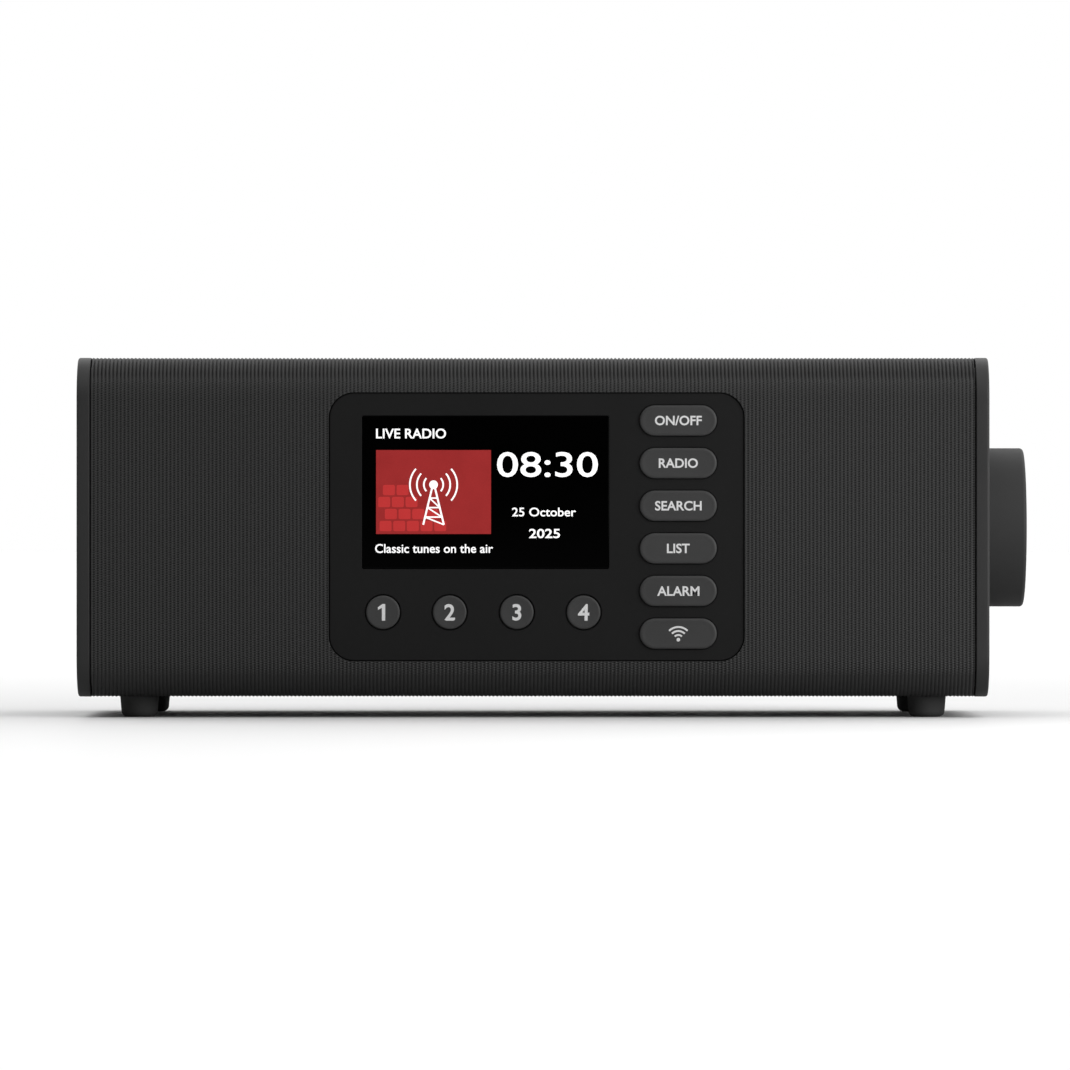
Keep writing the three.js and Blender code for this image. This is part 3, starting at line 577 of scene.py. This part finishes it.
line("screen_header", "LIVE RADIO", 376, 446, 433.5, "screen_white", 0.016)
line("screen_time", "08:30", 497, 598, 464.5, "screen_white", 0.007, 0.76)
line("screen_date", "25 October", 512, 576, 512, "screen_white", 0.012, 0.92)
line("screen_year", "2025", 529, 560, 533.5, "screen_white", 0.016, 0.8)
line("screen_line", "Classic tunes on the air", 375, 493, 548.5, "screen_white", 0.012)
PIC_X, PIC_Z = at(433.5, 492)
v, f = prism_y(34.5, 25.2, 0.05, [(0.765, 0.02), (0.775, 0)], PIC_X, PIC_Z, 2)
make("screen_picture", v, f, M["screen_red"], "cabinet", 40)


def ring_arc(name, r, t, a0, a1, x, z, y, mat, body, depth=0.03, n=18):
    outer = [(x + (r + t / 2) * math.cos(math.radians(a0 + (a1 - a0) * i / n)), z + (r + t / 2) * math.sin(math.radians(a0 + (a1 - a0) * i / n))) for i in range(n + 1)]
    inn = [(x + (r - t / 2) * math.cos(math.radians(a0 + (a1 - a0) * i / n)), z + (r - t / 2) * math.sin(math.radians(a0 + (a1 - a0) * i / n))) for i in range(n + 1)]
    loop = outer + inn[::-1]
    m = len(loop)
    verts = [(a, y, b) for a, b in loop] + [(a, y - depth, b) for a, b in loop]
    faces = [(i, (i + 1) % m, m + (i + 1) % m, m + i) for i in range(m)]
    for k in (0, m):
        faces += [(k + i, k + i + 1, k + m - 2 - i, k + m - 1 - i) for i in range(n)]
    return make(name, verts, faces, mat, body, 40)


for i, r in enumerate((2.9, 5.0, 7.1)):
    ring_arc("screen_wave_right_%d" % (i + 1), r, 0.5, -42, 42, PIC_X, PIC_Z + 2.2, 0.76, M["screen_white"], "cabinet")
    ring_arc("screen_wave_left_%d" % (i + 1), r, 0.5, 138, 222, PIC_X, PIC_Z + 2.2, 0.76, M["screen_white"], "cabinet")
v, f = revolve([(0, 0.73), (1.3, 0.73), (1.3, 0.76), (0, 0.76)], "y", (PIC_X, PIC_Z + 2.2), 32)
make("screen_mast_top", v, f, M["screen_white"], "cabinet", 40)


def bar(name, a, b, t, y, mat):
    """A flat stroke of width t between two points of the front plane."""
    (x0, z0), (x1, z1) = a, b
    d = math.hypot(x1 - x0, z1 - z0)
    nx, nz = -(z1 - z0) / d * t / 2, (x1 - x0) / d * t / 2
    q = [(x0 + nx, z0 + nz), (x1 + nx, z1 + nz), (x1 - nx, z1 - nz), (x0 - nx, z0 - nz)]
    v, f = stack([[(px, yy, pz) for px, pz in q] for yy in (y, y + 0.03)])
    return make(name, v, f, mat, "cabinet", 40)


LEG = lambda t, s: (PIC_X + s * (0.35 + 2.75 * t), PIC_Z + 1.6 - 11.4 * t)
k = 0
for a, b in [((0, -1), (1, -1)), ((0, 1), (1, 1)), ((0.3, -1), (0.3, 1)), ((0.55, -1), (0.55, 1)), ((0.8, -1), (0.8, 1)), ((0.3, -1), (0.55, 1)), ((0.55, -1), (0.8, 1)), ((0.8, -1), (1, 1))]:
    k += 1
    bar("screen_mast_bar_%d" % k, LEG(*a), LEG(*b), 0.42 if k > 2 else 0.55, 0.73, M["screen_white"])
# paler tiles in the picture's lower left
k = 0
for row, (zc, n, off) in enumerate(((-10.2, 5, 0.6), (-6.6, 4, 2.2), (-3.0, 3, 0.2), (0.6, 2, 1.6))):
    for i in range(n):
        k += 1
        cx, cz = PIC_X - 15.0 + off + i * 4.1, PIC_Z + zc
        v, f = prism_y(3.6, 3.1, 0.5, [(0.755, 0), (0.77, 0)], cx, cz, 3)
        make("screen_tile_%d" % k, v, f, M["screen_block"], "cabinet", 40)

# ------------------------------------------------------------------ keys
for i, x in enumerate(PRESET_X):
    node = "preset_key_%d" % (i + 1)
    prof = [(0, 0.4), (2.5, 0.34), (4.0, 0.2), (4.45, 0.15), (4.75, 0.17), (4.95, 0.3), (5.05, 0.5), (5.05, 3.0), (6.0, 3.0), (6.0, 3.8), (1.95, 3.8), (1.95, 9.2), (0, 9.2)]
    v, f = revolve(prof, "y", (x, PRESET_Z), 64)
    stands_for(make(node + "_moulded", v, f, M["key"], node, 50), node)
    if i == 0:
        one = [(0.75, -2.5), (0.75, 2.5), (-0.1, 2.5), (-1.45, 1.5), (-1.45, 0.7), (-0.25, 1.35), (-0.25, -2.5)]
        vs = [(x - 0.1 + a, yy, PRESET_Z + b) for yy in (0.37, 0.32) for a, b in one]
        fs = [(k, (k + 1) % 7, 7 + (k + 1) % 7, 7 + k) for k in range(7)] + [tuple(range(7)), tuple(range(7, 14))]
        make(node + "_legend", vs, fs, M["print"], node, 30)
    else:
        lettering(node + "_legend", str(i + 1), 5.0, x, PRESET_Z, 0.37, M["print"], node, bold=0.02, depth=0.05)

LEGENDS = {"power_key": "ON/OFF", "radio_key": "RADIO", "search_key": "SEARCH", "list_key": "LIST", "alarm_key": "ALARM"}
for node, z in zip(["power_key", "radio_key", "search_key", "list_key", "alarm_key", "wireless_key"], FUN_Z):
    st = [(-0.22, 2.1), (-0.22, 1.7), (-0.26, 1.25), (-0.29, 0.9), (-0.27, 0.5), (-0.12, 0.16), (0.15, 0.0), (3.0, 0.0), (3.0, -0.9), (3.8, -0.9)]
    v, f = prism_y(23.2, 9.2, 4.6, st, FUN_X, z, 12)
    stands_for(make(node + "_moulded", v, f, M["key"], node, 50), node)
    if node in LEGENDS:
        lettering(node + "_legend", LEGENDS[node], 2.9, FUN_X, z, -0.2, M["print"], node, bold=0.022, depth=0.05)
    else:
        for k, r in enumerate((1.5, 2.7, 3.9)):
            ring_arc("wireless_key_wave_%d" % (k + 1), r, 0.55, 45, 135, FUN_X, z - 1.9, -0.2, M["print"], node, 0.05)
        v, f = revolve([(0, -0.25), (0.55, -0.25), (0.55, -0.2), (0, -0.2)], "y", (FUN_X, z - 1.8), 24)
        make("wireless_key_dot", v, f, M["print"], node, 40)

# ------------------------------------------------------------------ knob
R = 24.25
prof = [(0, 149.55), (20.5, 149.55), (21.6, 149.7), (22.6, 149.95)] + quarter(R - 1.1, 148.9, 1.1, 78, 0, 6)[0:] + [(R, 138.3)] + quarter(R - 0.4, 138.2, 0.4, 0, -80, 3) + [(R - 2.2, 137.8), (R - 2.2, 147.6), (6.2, 147.6), (6.2, 140.2), (3.3, 140.2), (3.3, 147.1), (0, 147.1)]
v, f = revolve(prof, "x", (55, MID_Z), 128)
stands_for(make("volume_knob_moulded", v, f, M["knob"], "knob", 40), "volume_knob")

# ------------------------------------------------------------------ feet
for lr, x in (("left", -118.9), ("right", 118.9)):
    for row, y in (("front", 19), ("rear", 99)):
        prof = [(0, 0.25), (3.0, 0.25), (3.3, 0)] + quarter(3.6, 1.9, 1.9, -88, -8, 8) + [(5.85, 6.24), (5.6, 6.45), (2.4, 6.45), (2.4, 9.6), (0, 9.6)]
        v, f = revolve(prof, "z", (x, y), 64)
        stands_for(make("%s_%s_foot_moulded" % (row, lr), v, f, M["foot"], "cabinet", 45), "%s_%s_foot" % (row, lr))

# ------------------------------------------------------------------ rear cover
v, f = prism_y(243.4, 73.4, 4.7, [(115.3, 0)] + fillet(117.7, -1, 0.5, 4)[::-1], 0, MID_Z, 12)
cover = make("rear_cover_moulded", v, f, M["cover"], "cabinet", 40)
cuts = []
for x0 in (-100, 58):
    for i in range(6):
        cuts.append(prism_y(1.8, 24, 0.9, [(113, 0), (117.5, 0), (119, -0.4)], x0 + i * 6.4, 56, 8))
for x in (-116.5, 116.5):
    for z in (26, 88.5):
        cuts.append(revolve([(0, 113), (1.8, 113), (1.8, 116.2), (3.3, 116.2), (3.3, 117.5), (3.6, 119), (0, 119)], "y", (x, z), 40))
for x, z, r in ((100, 84, 3.9), (-44, 29, 5.4), (-24, 29, 4.0), (-8, 29, 4.0)):
    cuts.append(revolve([(0, 113), (r, 113), (r, 117.5), (r + 0.3, 119), (0, 119)], "y", (x, z), 48))
cut(cover, cuts, 40)
stands_for(cover, "rear_cover")
for name, x, text in (("power", -44, "DC IN"), ("aux", -24, "AUX"), ("phones", -8, "PHONES")):
    t = lettering("socket_legend_" + name, text, 1.9, x, 21.6 + 15.5, 0, M["print"], None, bold=0.006, depth=0.03)
    # turned to face the back
    co = [v.co.copy() for v in t.data.vertices]
    cx = (x + DX) * MM
    for vv, c in zip(t.data.vertices, co):
        vv.co = Vector((2 * cx - c.x, (117.7 + DY) * MM + (DY * MM - c.y), c.z))
    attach(t, "cabinet")

k = 0
for x in (-116.5, 116.5):
    for z in (26, 88.5):
        k += 1
        prof = [(0, 105.6), (0.6, 105.6), (1.4, 107.2), (1.4, 116.5), (2.9, 116.5), (2.9, 117.2)] + quarter(2.3, 117.0, 0.6, 15, 90, 4) + [(0, 117.6)]
        v, f = revolve(prof, "y", (x, z), 40)
        o = make("rear_cover_screw_%d_machined" % k, v, f, M["steel"], "cabinet", 40)
        cut(o, [prism_y(3.4, 0.6, 0.05, [(116.9, 0.12), (118, 0)], x, z, 2), prism_y(0.6, 3.4, 0.05, [(116.9, 0.12), (118, 0)], x, z, 2)], 40)
        stands_for(o, "rear_cover_screw_%d" % k)

# ------------------------------------------------------------------ aerial
AX, AZ, AY = 100, 84, 124.2
v, f = revolve([(2.2, 112.7), (3.6, 112.7), (3.6, 118.0), (6.3, 118.0), (6.6, 118.25), (6.6, 118.9), (6.3, 119.3), (5.9, 119.4), (2.2, 119.4), (2.2, 112.7)], "y", (AX, AZ), 64)
stands_for(make("aerial_base_moulded", v, f, M["black"], "cabinet", 40), "aerial_base")


def tube_x(r0, r1, xa, xb, e=0.12):
    """A drawn tube with softened ends."""
    return revolve([(r1, xa), (r0 - e, xa), (r0, xa + e), (r0, xb - e), (r0 - e, xb), (r1, xb), (r1, xa)], "x", (AY, AZ), 48)


start = AX - 4.3
out = start - 180
for node, r0, r1, xa, xb in (("aerial_section_2", 2.15, 1.8, out - 1.6, start - 5), ("aerial_section_3", 1.45, 1.1, out - 3.2, start - 7)):
    v, f = tube_x(r0, r1, xa, xb)
    stands_for(make(node + "_drawn", v, f, M["chrome"], BODY_OF[node], 40), node)
prof = [(0, out - 11.5), (1.2, out - 11.5), (2.1, out - 11.2), (2.55, out - 10.5), (2.6, out - 9.8), (2.6, out - 6.2), (2.3, out - 5.5), (1.6, out - 5.2), (0.75, out - 5.2), (0.75, start - 9), (0, start - 9)]
v, f = revolve(prof, "x", (AY, AZ), 48)
stands_for(make("aerial_tip_section_drawn", v, f, M["chrome"], BODY_OF["aerial_tip_section"], 40), "aerial_tip_section")

# ------------------------------------------------------------------ floor, lights, camera
floor_mat = material("studio_floor", [0.86, 0.86, 0.86], 0.55, var=0.01, rough_var=0.03, grain=40, bump=0.0, blotch=3)
S = 25.0
me = bpy.data.meshes.new("studio_floor")
me.from_pydata([(-S, -S, 0), (S, -S, 0), (S, S, 0), (-S, S, 0)], [], [(0, 1, 2, 3)])
floor = bpy.data.objects.new("studio_floor", me)
bpy.context.scene.collection.objects.link(floor)
me.materials.append(floor_mat)
ft = floor_mat.node_tree
for l in list(ft.nodes["Principled BSDF"].inputs["Base Color"].links):
    ft.links.remove(l)
ft.nodes["Principled BSDF"].inputs["Specular IOR Level"].default_value = 0.1


def node(kind, **inputs):
    n = ft.nodes.new(kind)
    for k, v in inputs.items():
        n.inputs[k.replace("_", " ")].default_value = v
    return n


fo = node("ShaderNodeTexCoord")
away = ft.nodes.new("ShaderNodeVectorMath")
away.operation = "LENGTH"
ft.links.new(fo.outputs["Object"], away.inputs[0])
# painted shade: to the camera the floor's colour runs from 0.825 within 0.25 m of the middle up to 0.98 beyond 0.9 m,
# darker round the object; to every other ray it is a flat 0.5
painted_floor_shade = node("ShaderNodeMapRange", From_Min=0.25, From_Max=0.9, To_Min=0.825, To_Max=0.98)
ft.links.new(away.outputs["Value"], painted_floor_shade.inputs["Value"])
ray = node("ShaderNodeLightPath")
shown = ft.nodes.new("ShaderNodeMix")
shown.data_type = "FLOAT"
shown.inputs["A"].default_value = 0.5
ft.links.new(ray.outputs["Is Camera Ray"], shown.inputs["Factor"])
ft.links.new(painted_floor_shade.outputs["Result"], shown.inputs["B"])
ft.links.new(shown.outputs["Result"], ft.nodes["Principled BSDF"].inputs["Base Color"])

world = bpy.data.worlds.new("studio")
bpy.context.scene.world = world
world.use_nodes = True
wt = world.node_tree
bg = wt.nodes["Background"]
gen = wt.nodes.new("ShaderNodeTexCoord")
xyz = wt.nodes.new("ShaderNodeSeparateXYZ")
wt.links.new(gen.outputs["Generated"], xyz.inputs["Vector"])


def ranged(socket, a, b, lo, hi):
    n = wt.nodes.new("ShaderNodeMapRange")
    n.interpolation_type = "SMOOTHSTEP"
    for k, v in (("From Min", a), ("From Max", b), ("To Min", lo), ("To Max", hi)):
        n.inputs[k].default_value = v
    wt.links.new(socket, n.inputs["Value"])
    return n.outputs["Result"]


def plus(a, b):
    n = wt.nodes.new("ShaderNodeMath")
    n.operation = "ADD"
    wt.links.new(a, n.inputs[0])
    wt.links.new(b, n.inputs[1])
    return n.outputs["Value"]


light = plus(ranged(xyz.outputs["Z"], 0.15, 0.8, 0.05, 1.06), plus(ranged(xyz.outputs["X"], 0.25, 0.95, 0.0, 0.35), ranged(xyz.outputs["Y"], 0.0, 0.8, 0.0, 0.74)))
path_kind = wt.nodes.new("ShaderNodeLightPath")
seen = wt.nodes.new("ShaderNodeMix")
seen.data_type = "FLOAT"
seen.inputs["B"].default_value = 1.0
wt.links.new(path_kind.outputs["Is Camera Ray"], seen.inputs["Factor"])
wt.links.new(light, seen.inputs["A"])
bg.inputs["Color"].default_value = (1, 1, 1, 1)
wt.links.new(seen.outputs["Result"], bg.inputs["Strength"])


def area(name, loc, look, size, power, size_y=None):
    l = bpy.data.lights.new(name, "AREA")
    l.shape = "RECTANGLE" if size_y else "SQUARE"
    l.size = size
    if size_y:
        l.size_y = size_y
    l.energy = power
    o = bpy.data.objects.new(name, l)
    bpy.context.scene.collection.objects.link(o)
    o.location = loc
    o.rotation_mode = "QUATERNION"
    o.rotation_quaternion = (Vector(look) - Vector(loc)).to_track_quat("-Z", "Y")
    return o


area("fill_right", (0.5, -0.42, 0.2), (0.05, -0.06, 0.06), 0.3, 1.95)

cam = bpy.data.cameras.new("camera")
co = bpy.data.objects.new("camera", cam)
bpy.context.scene.collection.objects.link(co)
cam.lens = 288.2
cam.sensor_width = 36
cam.clip_start, cam.clip_end = 0.1, 50
co.location = ((0.6 + DX) * MM, (DY - 2570) * MM, 54.9 * MM)
co.rotation_euler = (math.radians(90), 0, 0)
bpy.context.scene.camera = co
bpy.context.scene.view_settings.view_transform = "Standard"
bpy.context.scene.view_settings.look = "None"
